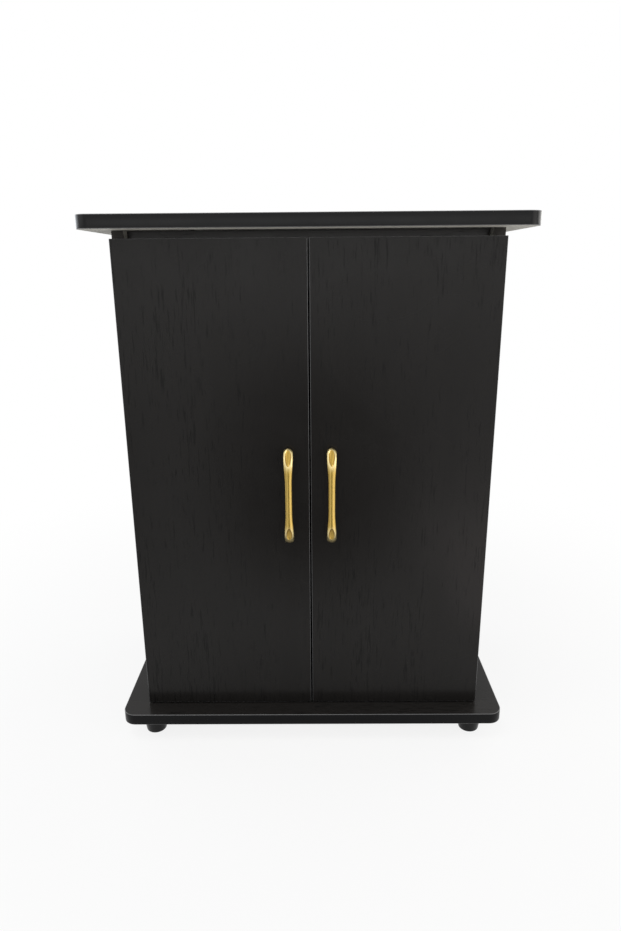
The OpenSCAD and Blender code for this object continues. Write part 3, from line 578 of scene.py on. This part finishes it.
# Width, depth and tilt of the bow after a run from its middle
def bowSection(run):
    h = handleShape
    past = max(0, run - bowEnd + h["cap"]) / h["cap"]
    cap = math.sqrt(max(0, 1 - past * past))
    widened = ease((run - bendStart + h["widenBefore"]) / h["widenRun"])
    width = cap * (h["waist"] + (h["head"] - h["waist"]) * widened)
    depth = cap * (h["thickness"] - h["thinning"] * ease((run - bendStart) / h["thinRun"]))
    return width, depth, h["bend"] * ease((run - bendStart) / (bowEnd - bendStart))


# Where the bow's middle line lies after that run
@lru_cache(maxsize=None)
def bowSpot(run):
    slices = 120
    spot = Vector()
    for i in range(slices):
        tilt = bowSection(run * (i + 0.5) / slices)[2]
        spot += Vector((0, math.sin(tilt), math.cos(tilt))) * (run / slices)
    return spot


def pullBow(piece, centre):
    h = handleShape
    runs = [bendStart * (i + 1) / h["straightSteps"] for i in range(h["straightSteps"])]
    runs += [bowEnd - (bowEnd - bendStart) * ((h["bendSteps"] - i) / h["bendSteps"]) ** h["crowding"]
             for i in range(1, h["bendSteps"])]
    runs.append(bowEnd - 0.01 * mm)    # a hair short of the end, where the section has no width
    width, depth, tilt = bowSection(0)
    path = centre.copy()
    bpy.ops.transform.resize(value=(width, depth, 1), center_override=centre)
    for run in runs:
        spot = centre + bowSpot(run)
        bpy.ops.mesh.extrude_region_move(TRANSFORM_OT_translate={"value": spot - path})
        path = spot
        section = bowSection(run)
        mesh = bmesh.from_edit_mesh(piece.data)
        for vert in mesh.verts:
            if vert.select:
                flat = Matrix.Rotation(tilt, 3, "X") @ (vert.co - path)
                flat.x *= section[0] / width
                flat.y *= section[1] / depth
                vert.co = path + Matrix.Rotation(-section[2], 3, "X") @ flat
        bmesh.update_edit_mesh(piece.data)
        width, depth, tilt = section
    bpy.ops.mesh.edge_face_add()
    bpy.ops.mesh.poke()
    return path


# The cutter is an ellipsoid bent along the bow, wider at its far end, with its middle outside the face
def cutScoops(piece, centre):
    c = scoopShape
    for end in (-1, 1):
        bpy.ops.object.select_all(action="DESELECT")
        bpy.ops.mesh.primitive_uv_sphere_add(segments=c["segments"], ring_count=c["rings"], radius=1,
                                             location=(0, 0, 0))
        cutter = bpy.context.object
        for vert in cutter.data.vertices:
            # Rounded, so that each ring of the sphere asks bowSpot for one and the same run
            run = bowEnd - c["middle"][end] + c["half"][end] * round(vert.co.z, 5)
            depth, tilt = bowSection(run)[1:]
            height = depth / 2 - c["depth"] + c["outwards"] * (1 - vert.co.y)
            place = bowSpot(run) + Vector((0, -math.cos(tilt), math.sin(tilt))) * height
            flare = 1 + c["flare"] * vert.co.z
            vert.co = centre + Vector((c["across"] * flare * vert.co.x, place.y, end * place.z))
        edit()
        bpy.ops.mesh.select_all(action="SELECT")
        bpy.ops.mesh.normals_make_consistent(inside=False)
        leave()
        for name in ("goldPlate", "goldRecess"):
            cutter.data.materials.append(finish[name])
        for face in cutter.data.polygons:
            face.material_index = 1
        modify(piece, "BOOLEAN", operation="DIFFERENCE", solver="EXACT", object=cutter)
        bpy.data.objects.remove(cutter)


# Each post stands on the door and ends inside the bow
def addPosts(piece, centre, doorFace, top):
    p = postShape
    profile = [
        (0, 0), (p["baseRadius"], 0), (p["baseRadius"], p["baseRim"]),
        (p["baseRadius"] - p["baseRound"], p["baseShoulder"]), (p["radius"], p["baseHeight"]),
        (p["radius"], top), (0, top)]
    for end in (-1, 1):
        foot = Vector((centre.x, doorFace, centre.z + end * handleShape["pitch"] / 2))
        post = makeTurned("handlePost", foot, Vector((0, -1, 0)), profile, p["steps"])
        modify(piece, "BOOLEAN", operation="UNION", solver="EXACT", object=post)
        bpy.data.objects.remove(post)


def makeHandle(name, node):
    h = handleShape
    low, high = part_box(node)
    centre = Vector(((low.x + high.x) / 2, low.y + h["thickness"] / 2, (low.z + high.z) / 2))
    bpy.ops.object.select_all(action="DESELECT")
    bpy.ops.mesh.primitive_circle_add(vertices=h["sides"], radius=0.5, location=centre)
    bpy.ops.object.transform_apply(location=True, rotation=True, scale=True)
    piece = bpy.context.object
    piece.name = name
    piece.data.name = name
    edit("EDGE")
    bpy.ops.mesh.select_all(action="SELECT")
    tip = pullBow(piece, centre)
    bpy.ops.mesh.select_all(action="SELECT")
    bpy.ops.mesh.duplicate()
    bpy.ops.transform.resize(value=(1, 1, -1), center_override=centre)
    bpy.ops.mesh.select_all(action="SELECT")
    bpy.ops.mesh.remove_doubles(threshold=touching)
    bpy.ops.mesh.normals_make_consistent(inside=False)
    leave()
    modify(piece, "SUBSURF", levels=2, render_levels=2)
    for stuff in ("goldPlate", "goldRecess"):
        piece.data.materials.append(finish[stuff])
    cutScoops(piece, centre)
    addPosts(piece, centre, high.y, high.y - tip.y + postShape["intoBow"])
    shade(piece, 24)
    # The scoops' faces got their own finish from the cutter, a darker gold of painted shade in the hollows,
    # and keep it
    inScoop = [face.material_index for face in piece.data.polygons]
    standIn(piece, node, finish["goldPlate"])
    piece.data.materials.append(finish["goldRecess"])
    piece.data.polygons.foreach_set("material_index", inScoop)


for side in ("left", "right"):
    makeHandle(side + "Handle", side + "_handle")
print("handles ready")

# Grommets: a spun ring with rounded lips, its flange on the rear face
grommetShape = {
    "flange": 4 * mm, "wall": 2.5 * mm, "play": 0.85 * mm, "lip": 0.9 * mm, "lipRound": 0.3,
    "edge": 0.4 * mm, "lead": 2 * mm, "leadPlay": 0.1 * mm, "neckPlay": 0.05 * mm, "steps": 96,
}


# Heights are from the panel's rear face, so the front is below zero
def grommetProfile(outer, front, back):
    g = grommetShape
    lip, bulge = g["lip"], g["lip"] * g["lipRound"]
    sleeve = outer - g["flange"]
    inner = sleeve - g["wall"]
    return [
        (inner, front + g["edge"]), (inner + g["edge"], front), (sleeve - g["play"], front),
        (sleeve - g["leadPlay"], front + g["lead"]), (sleeve - g["neckPlay"], 0), (outer, 0),
        (outer, back - lip), (outer - bulge, back - bulge), (outer - lip, back), (inner + lip, back),
        (inner + bulge, back - bulge), (inner, back - lip), (inner, front + g["edge"])]


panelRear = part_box("back_panel")[1].y
for side in ("left", "right"):
    node = side + "_hose_grommet"
    low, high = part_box(node)
    centre = Vector(((low.x + high.x) / 2, panelRear, (low.z + high.z) / 2))
    profile = grommetProfile((high.x - low.x) / 2, low.y - panelRear, high.y - panelRear)
    ring = makeTurned(side + "HoseGrommet", centre, Vector((0, 1, 0)), profile, grommetShape["steps"])
    shade(ring, 30)
    standIn(ring, node, finish["mouldedPlastic"])
print("grommets ready")

# Hardware: a copy of each node with its arrises rounded, as plating leaves them (widths in millimetres)
doorHardware = {
    "hinge_plates": 0.25, "hinge_arms": 0.22, "long_links": 0.15, "short_links": 0.2, "hinge_cups": 0.2,
    "plate_screws": 0.12, "cup_screws": 0.1, "handle_screws": 0.12,
}
looseHardware = {"shelf_pins": 0.2, "cam_discs": 0.15}
softening = {"cuts": 2, "sharpFrom": math.radians(40), "flatWithin": math.radians(0.5)}


def makeSoftened(name, node, width):
    choose(frame["nodes"][node])
    bpy.ops.object.duplicate()
    piece = bpy.context.object
    piece.name = name
    piece.data.name = name
    # The copy isn't the node, so it drops the node's tags
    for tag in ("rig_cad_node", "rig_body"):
        if tag in piece:
            del piece[tag]
    piece.parent = None
    edit("EDGE")
    bpy.ops.mesh.select_all(action="SELECT")
    bpy.ops.mesh.remove_doubles(threshold=touching)
    bpy.ops.mesh.dissolve_limited(angle_limit=softening["flatWithin"])
    leave()
    modify(piece, "BEVEL", width=width * mm, segments=softening["cuts"], limit_method="ANGLE",
           angle_limit=softening["sharpFrom"], use_clamp_overlap=True, miter_outer="MITER_ARC")
    shade(piece, 35)
    standIn(piece, node, slotFinish[slotOf[node]])


allHardware = {side + "_" + part: width for side in ("left", "right") for part, width in doorHardware.items()}
for node, width in (allHardware | looseHardware).items():
    first, *others = node.split("_")
    makeSoftened(first + "".join(word.title() for word in others), node, width)
print("hardware ready")

# Floor and background: white where the camera or a reflection looks, with the shadow kept near the
# object. Only reflections see the painted dark reflection and the painted shade: the dark reflection is a
# long dark oval painted on the floor under the camera, standing in for a darker room in the satin doors,
# and the shade is painted shade that dims the floor close to the cabinet.
stageLook = {
    "floorSize": 14.0, "paint": 0.82, "fade": (0.45, 1.3), "nearWhite": 0.84,
    "matMiddle": (0, -2.9, 0), "matShape": (1.7, 0.35, 1), "matEdge": (0.70, 0.86), "matLevel": 0.05,
    "shade": (0.24, 0.50), "shadeLevel": 0.55, "skyDiffuse": 0.72,
}


# The rays that see the plain white: the camera's, reflected and clear ones, and the reflected ones alone
def seenDirectly(tree, x, y):
    rays = put(tree, "ShaderNodeLightPath", x, y)
    plus = put(tree, "ShaderNodeMath", x + 200, y, operation="ADD",
               inputs={0: rays.outputs["Is Camera Ray"], 1: rays.outputs["Is Glossy Ray"]})
    seen = put(tree, "ShaderNodeMath", x + 400, y, operation="ADD", use_clamp=True,
               inputs={0: plus.outputs[0], 1: rays.outputs["Is Transmission Ray"]})
    return seen.outputs[0], rays.outputs["Is Glossy Ray"]


# Goes softly from the near value to the far one while the distance crosses the span
def softStep(tree, x, y, distance, span, near, far):
    return put(tree, "ShaderNodeMapRange", x, y, interpolation_type="SMOOTHSTEP",
               inputs={"Value": distance, "From Min": span[0], "From Max": span[1], "To Min": near,
                       "To Max": far}).outputs["Result"]


def makeFloor():
    look = stageLook
    bpy.ops.object.select_all(action="DESELECT")
    bpy.ops.mesh.primitive_plane_add(size=look["floorSize"], location=(0, 0, 0))
    floor = bpy.context.object
    floor.name = "studioFloor"
    material, tree, shader, spot = newMaterial("studioFloorPaint",
                                               {"Roughness": 0.9, "Specular IOR Level": 0.0})
    shader.inputs["Base Color"].default_value = [look["paint"]] * 3 + [1]
    seen, gloss = seenDirectly(tree, -1300, -500)
    ahead = put(tree, "ShaderNodeVectorMath", -1300, 200, operation="SUBTRACT",
                inputs={0: spot, 1: look["matMiddle"]})
    shaped = put(tree, "ShaderNodeVectorMath", -1100, 200, operation="MULTIPLY",
                 inputs={0: ahead.outputs[0], 1: look["matShape"]})
    reach = put(tree, "ShaderNodeVectorMath", -900, 200, operation="LENGTH", inputs={0: shaped.outputs[0]})
    away = put(tree, "ShaderNodeVectorMath", -900, -200, operation="LENGTH", inputs={0: spot})
    inDarkReflection = softStep(tree, -700, 200, reach.outputs["Value"], look["matEdge"], 1.0, 0.0)
    fade = softStep(tree, -700, -200, away.outputs["Value"], look["fade"], look["nearWhite"], 1.0)
    dim = softStep(tree, -700, -700, away.outputs["Value"], look["shade"], 1.0 - look["shadeLevel"], 0.0)
    # Painted reflection: the dark oval is seen by reflected rays only
    darkReflection = put(tree, "ShaderNodeMath", -500, 100, operation="MULTIPLY", inputs={0: inDarkReflection, 1: gloss})
    white = put(tree, "ShaderNodeMath", -500, -200, operation="MULTIPLY", inputs={0: fade, 1: seen})
    dimmed = put(tree, "ShaderNodeMath", -500, -700, operation="MULTIPLY", inputs={0: dim, 1: gloss})
    share = put(tree, "ShaderNodeMath", -300, -200, operation="MAXIMUM",
                inputs={0: white.outputs[0], 1: darkReflection.outputs[0]})
    level = put(tree, "ShaderNodeMapRange", -300, -500,
                inputs={"Value": darkReflection.outputs[0], "To Min": 1.0, "To Max": look["matLevel"]})
    kept = put(tree, "ShaderNodeMath", -300, -700, operation="SUBTRACT",
               inputs={0: 1.0, 1: dimmed.outputs[0]})
    strength = put(tree, "ShaderNodeMath", -100, -600, operation="MULTIPLY",
                   inputs={0: level.outputs["Result"], 1: kept.outputs[0]})
    glow = put(tree, "ShaderNodeEmission", 0, -400,
               inputs={"Color": (1, 1, 1, 1), "Strength": strength.outputs[0]})
    mixed = put(tree, "ShaderNodeMixShader", 300, 0,
                inputs={0: share.outputs[0], 1: shader.outputs[0], 2: glow.outputs[0]})
    tree.links.new(mixed.outputs[0], tree.nodes["Material Output"].inputs["Surface"])
    floor.data.materials.append(material)


def makeSky():
    world = bpy.data.worlds.new("studioSky")
    bpy.context.scene.world = world
    world.use_nodes = True
    sky = world.node_tree
    seen = seenDirectly(sky, -900, 0)[0]
    level = put(sky, "ShaderNodeMapRange", -300, 0,
                inputs={"Value": seen, "To Min": stageLook["skyDiffuse"], "To Max": 1.0})
    sky.nodes["Background"].inputs["Color"].default_value = (1, 1, 1, 1)
    sky.links.new(level.outputs["Result"], sky.nodes["Background"].inputs["Strength"])


# Soft lamps that the camera doesn't see, at a plain level
lamps = {
    "rightWindow": {"spot": (1.7, 0.75, 0.95), "aim": (0, -0.1, 0.7), "size": (2.2, 0.5), "power": 9,
                    "color": (1.0, 0.98, 0.95)},
    "leftWindow": {"spot": (-1.7, 0.75, 0.95), "aim": (0, -0.1, 0.7), "size": (1.8, 0.5), "power": 6,
                   "color": (0.88, 0.94, 1.0)},
    "rightFill": {"spot": (1.6, -1.1, 0.85), "aim": (0, -0.1, 0.7), "size": (1.0, 1.0), "power": 4,
                  "color": (1.0, 0.94, 0.91)},
    "leftFill": {"spot": (-1.45, -0.75, 1.15), "aim": (0, -0.1, 0.6), "size": (0.9, 0.9), "power": 1.5,
                 "color": (0.97, 0.99, 1.0)},
    "rightStrip": {"spot": (0.95, -0.45, 0.40), "aim": (0, -0.16, 0.36), "size": (0.4, 0.76), "power": 0.5,
                   "color": (1.0, 0.97, 0.9)},
    "topSoftbox": {"spot": (-0.6, -0.8, 2.3), "aim": (0, -0.2, 0.2), "size": (1.2, 0.8), "power": 10,
                   "color": (1.0, 1.0, 1.0)},
    "frontSoftbox": {"spot": (0.1, -2.9, 0.85), "aim": (0, 0, 0.6), "size": (3.0, 0.55), "power": 5,
                     "color": (1.0, 1.0, 1.0)},
    "floorBounce": {"spot": (0.62, -0.80, 0.01), "aim": (0.62, -0.80, 1.0), "size": (0.6, 0.7), "power": 1.1,
                    "color": (1.0, 0.86, 0.84)},
}


def makeLamp(name, lamp):
    data = bpy.data.lights.new(name, "AREA")
    data.shape = "RECTANGLE"
    data.size, data.size_y = lamp["size"]
    data.energy = lamp["power"]
    data.color = lamp["color"]
    made = bpy.data.objects.new(name, data)
    bpy.context.scene.collection.objects.link(made)
    made.visible_camera = False
    made.location = lamp["spot"]
    made.rotation_euler = (Vector(lamp["aim"]) - made.location).to_track_quat("-Z", "Y").to_euler()


# A grey card that only reflections see, to the left of the camera, for the shaded side of the handles
greyCard = {"low": (-0.72, -0.29, 0.0), "high": (-0.43, -0.735, 0.42), "glow": 0.5}


def makeCard():
    left, right = Vector(greyCard["low"]), Vector(greyCard["high"])
    bpy.ops.object.select_all(action="DESELECT")
    bpy.ops.mesh.primitive_plane_add(size=1, location=(0, 0, 0))
    card = bpy.context.object
    card.name = "greyCard"
    corners = (left, Vector((right.x, right.y, left.z)), Vector((left.x, left.y, right.z)), right)
    for vert, corner in zip(card.data.vertices, corners):
        vert.co = corner
    card.data.materials.append(newMaterial("greyCardPaint", {
        "Base Color": (0, 0, 0, 1), "Roughness": 1.0, "Specular IOR Level": 0.0,
        "Emission Color": (1, 1, 1, 1), "Emission Strength": greyCard["glow"]})[0])
    card.visible_camera = card.visible_diffuse = card.visible_shadow = card.visible_transmission = False


makeFloor()
makeSky()
makeCard()
for name, lamp in lamps.items():
    makeLamp(name, lamp)
print("stage and lamps ready")

# The photograph's camera: its place, its turns in radians and its focal length in pixels
camera = {"spot": (7.5 * mm, -1074.3 * mm, 725.7 * mm), "pitch": 0.2885, "yaw": 0.0074, "roll": -0.0081,
          "focalPixels": 670.04, "imageHeight": 931, "sensor": 36.0}


def makeCamera():
    c = camera
    data = bpy.data.cameras.new("photoCamera")
    data.sensor_width = c["sensor"]
    data.lens = c["focalPixels"] * c["sensor"] / c["imageHeight"]
    data.clip_start = 0.01
    data.clip_end = 100
    made = bpy.data.objects.new("photoCamera", data)
    bpy.context.scene.collection.objects.link(made)
    turn = (Matrix.Rotation(c["yaw"], 3, "Z") @ Matrix.Rotation(math.pi / 2 - c["pitch"], 3, "X")
            @ Matrix.Rotation(c["roll"], 3, "Z"))
    made.location = c["spot"]
    made.rotation_euler = turn.to_euler()
    bpy.context.scene.camera = made


makeCamera()
bpy.context.scene.view_settings.view_transform = "Standard"
print("camera ready")
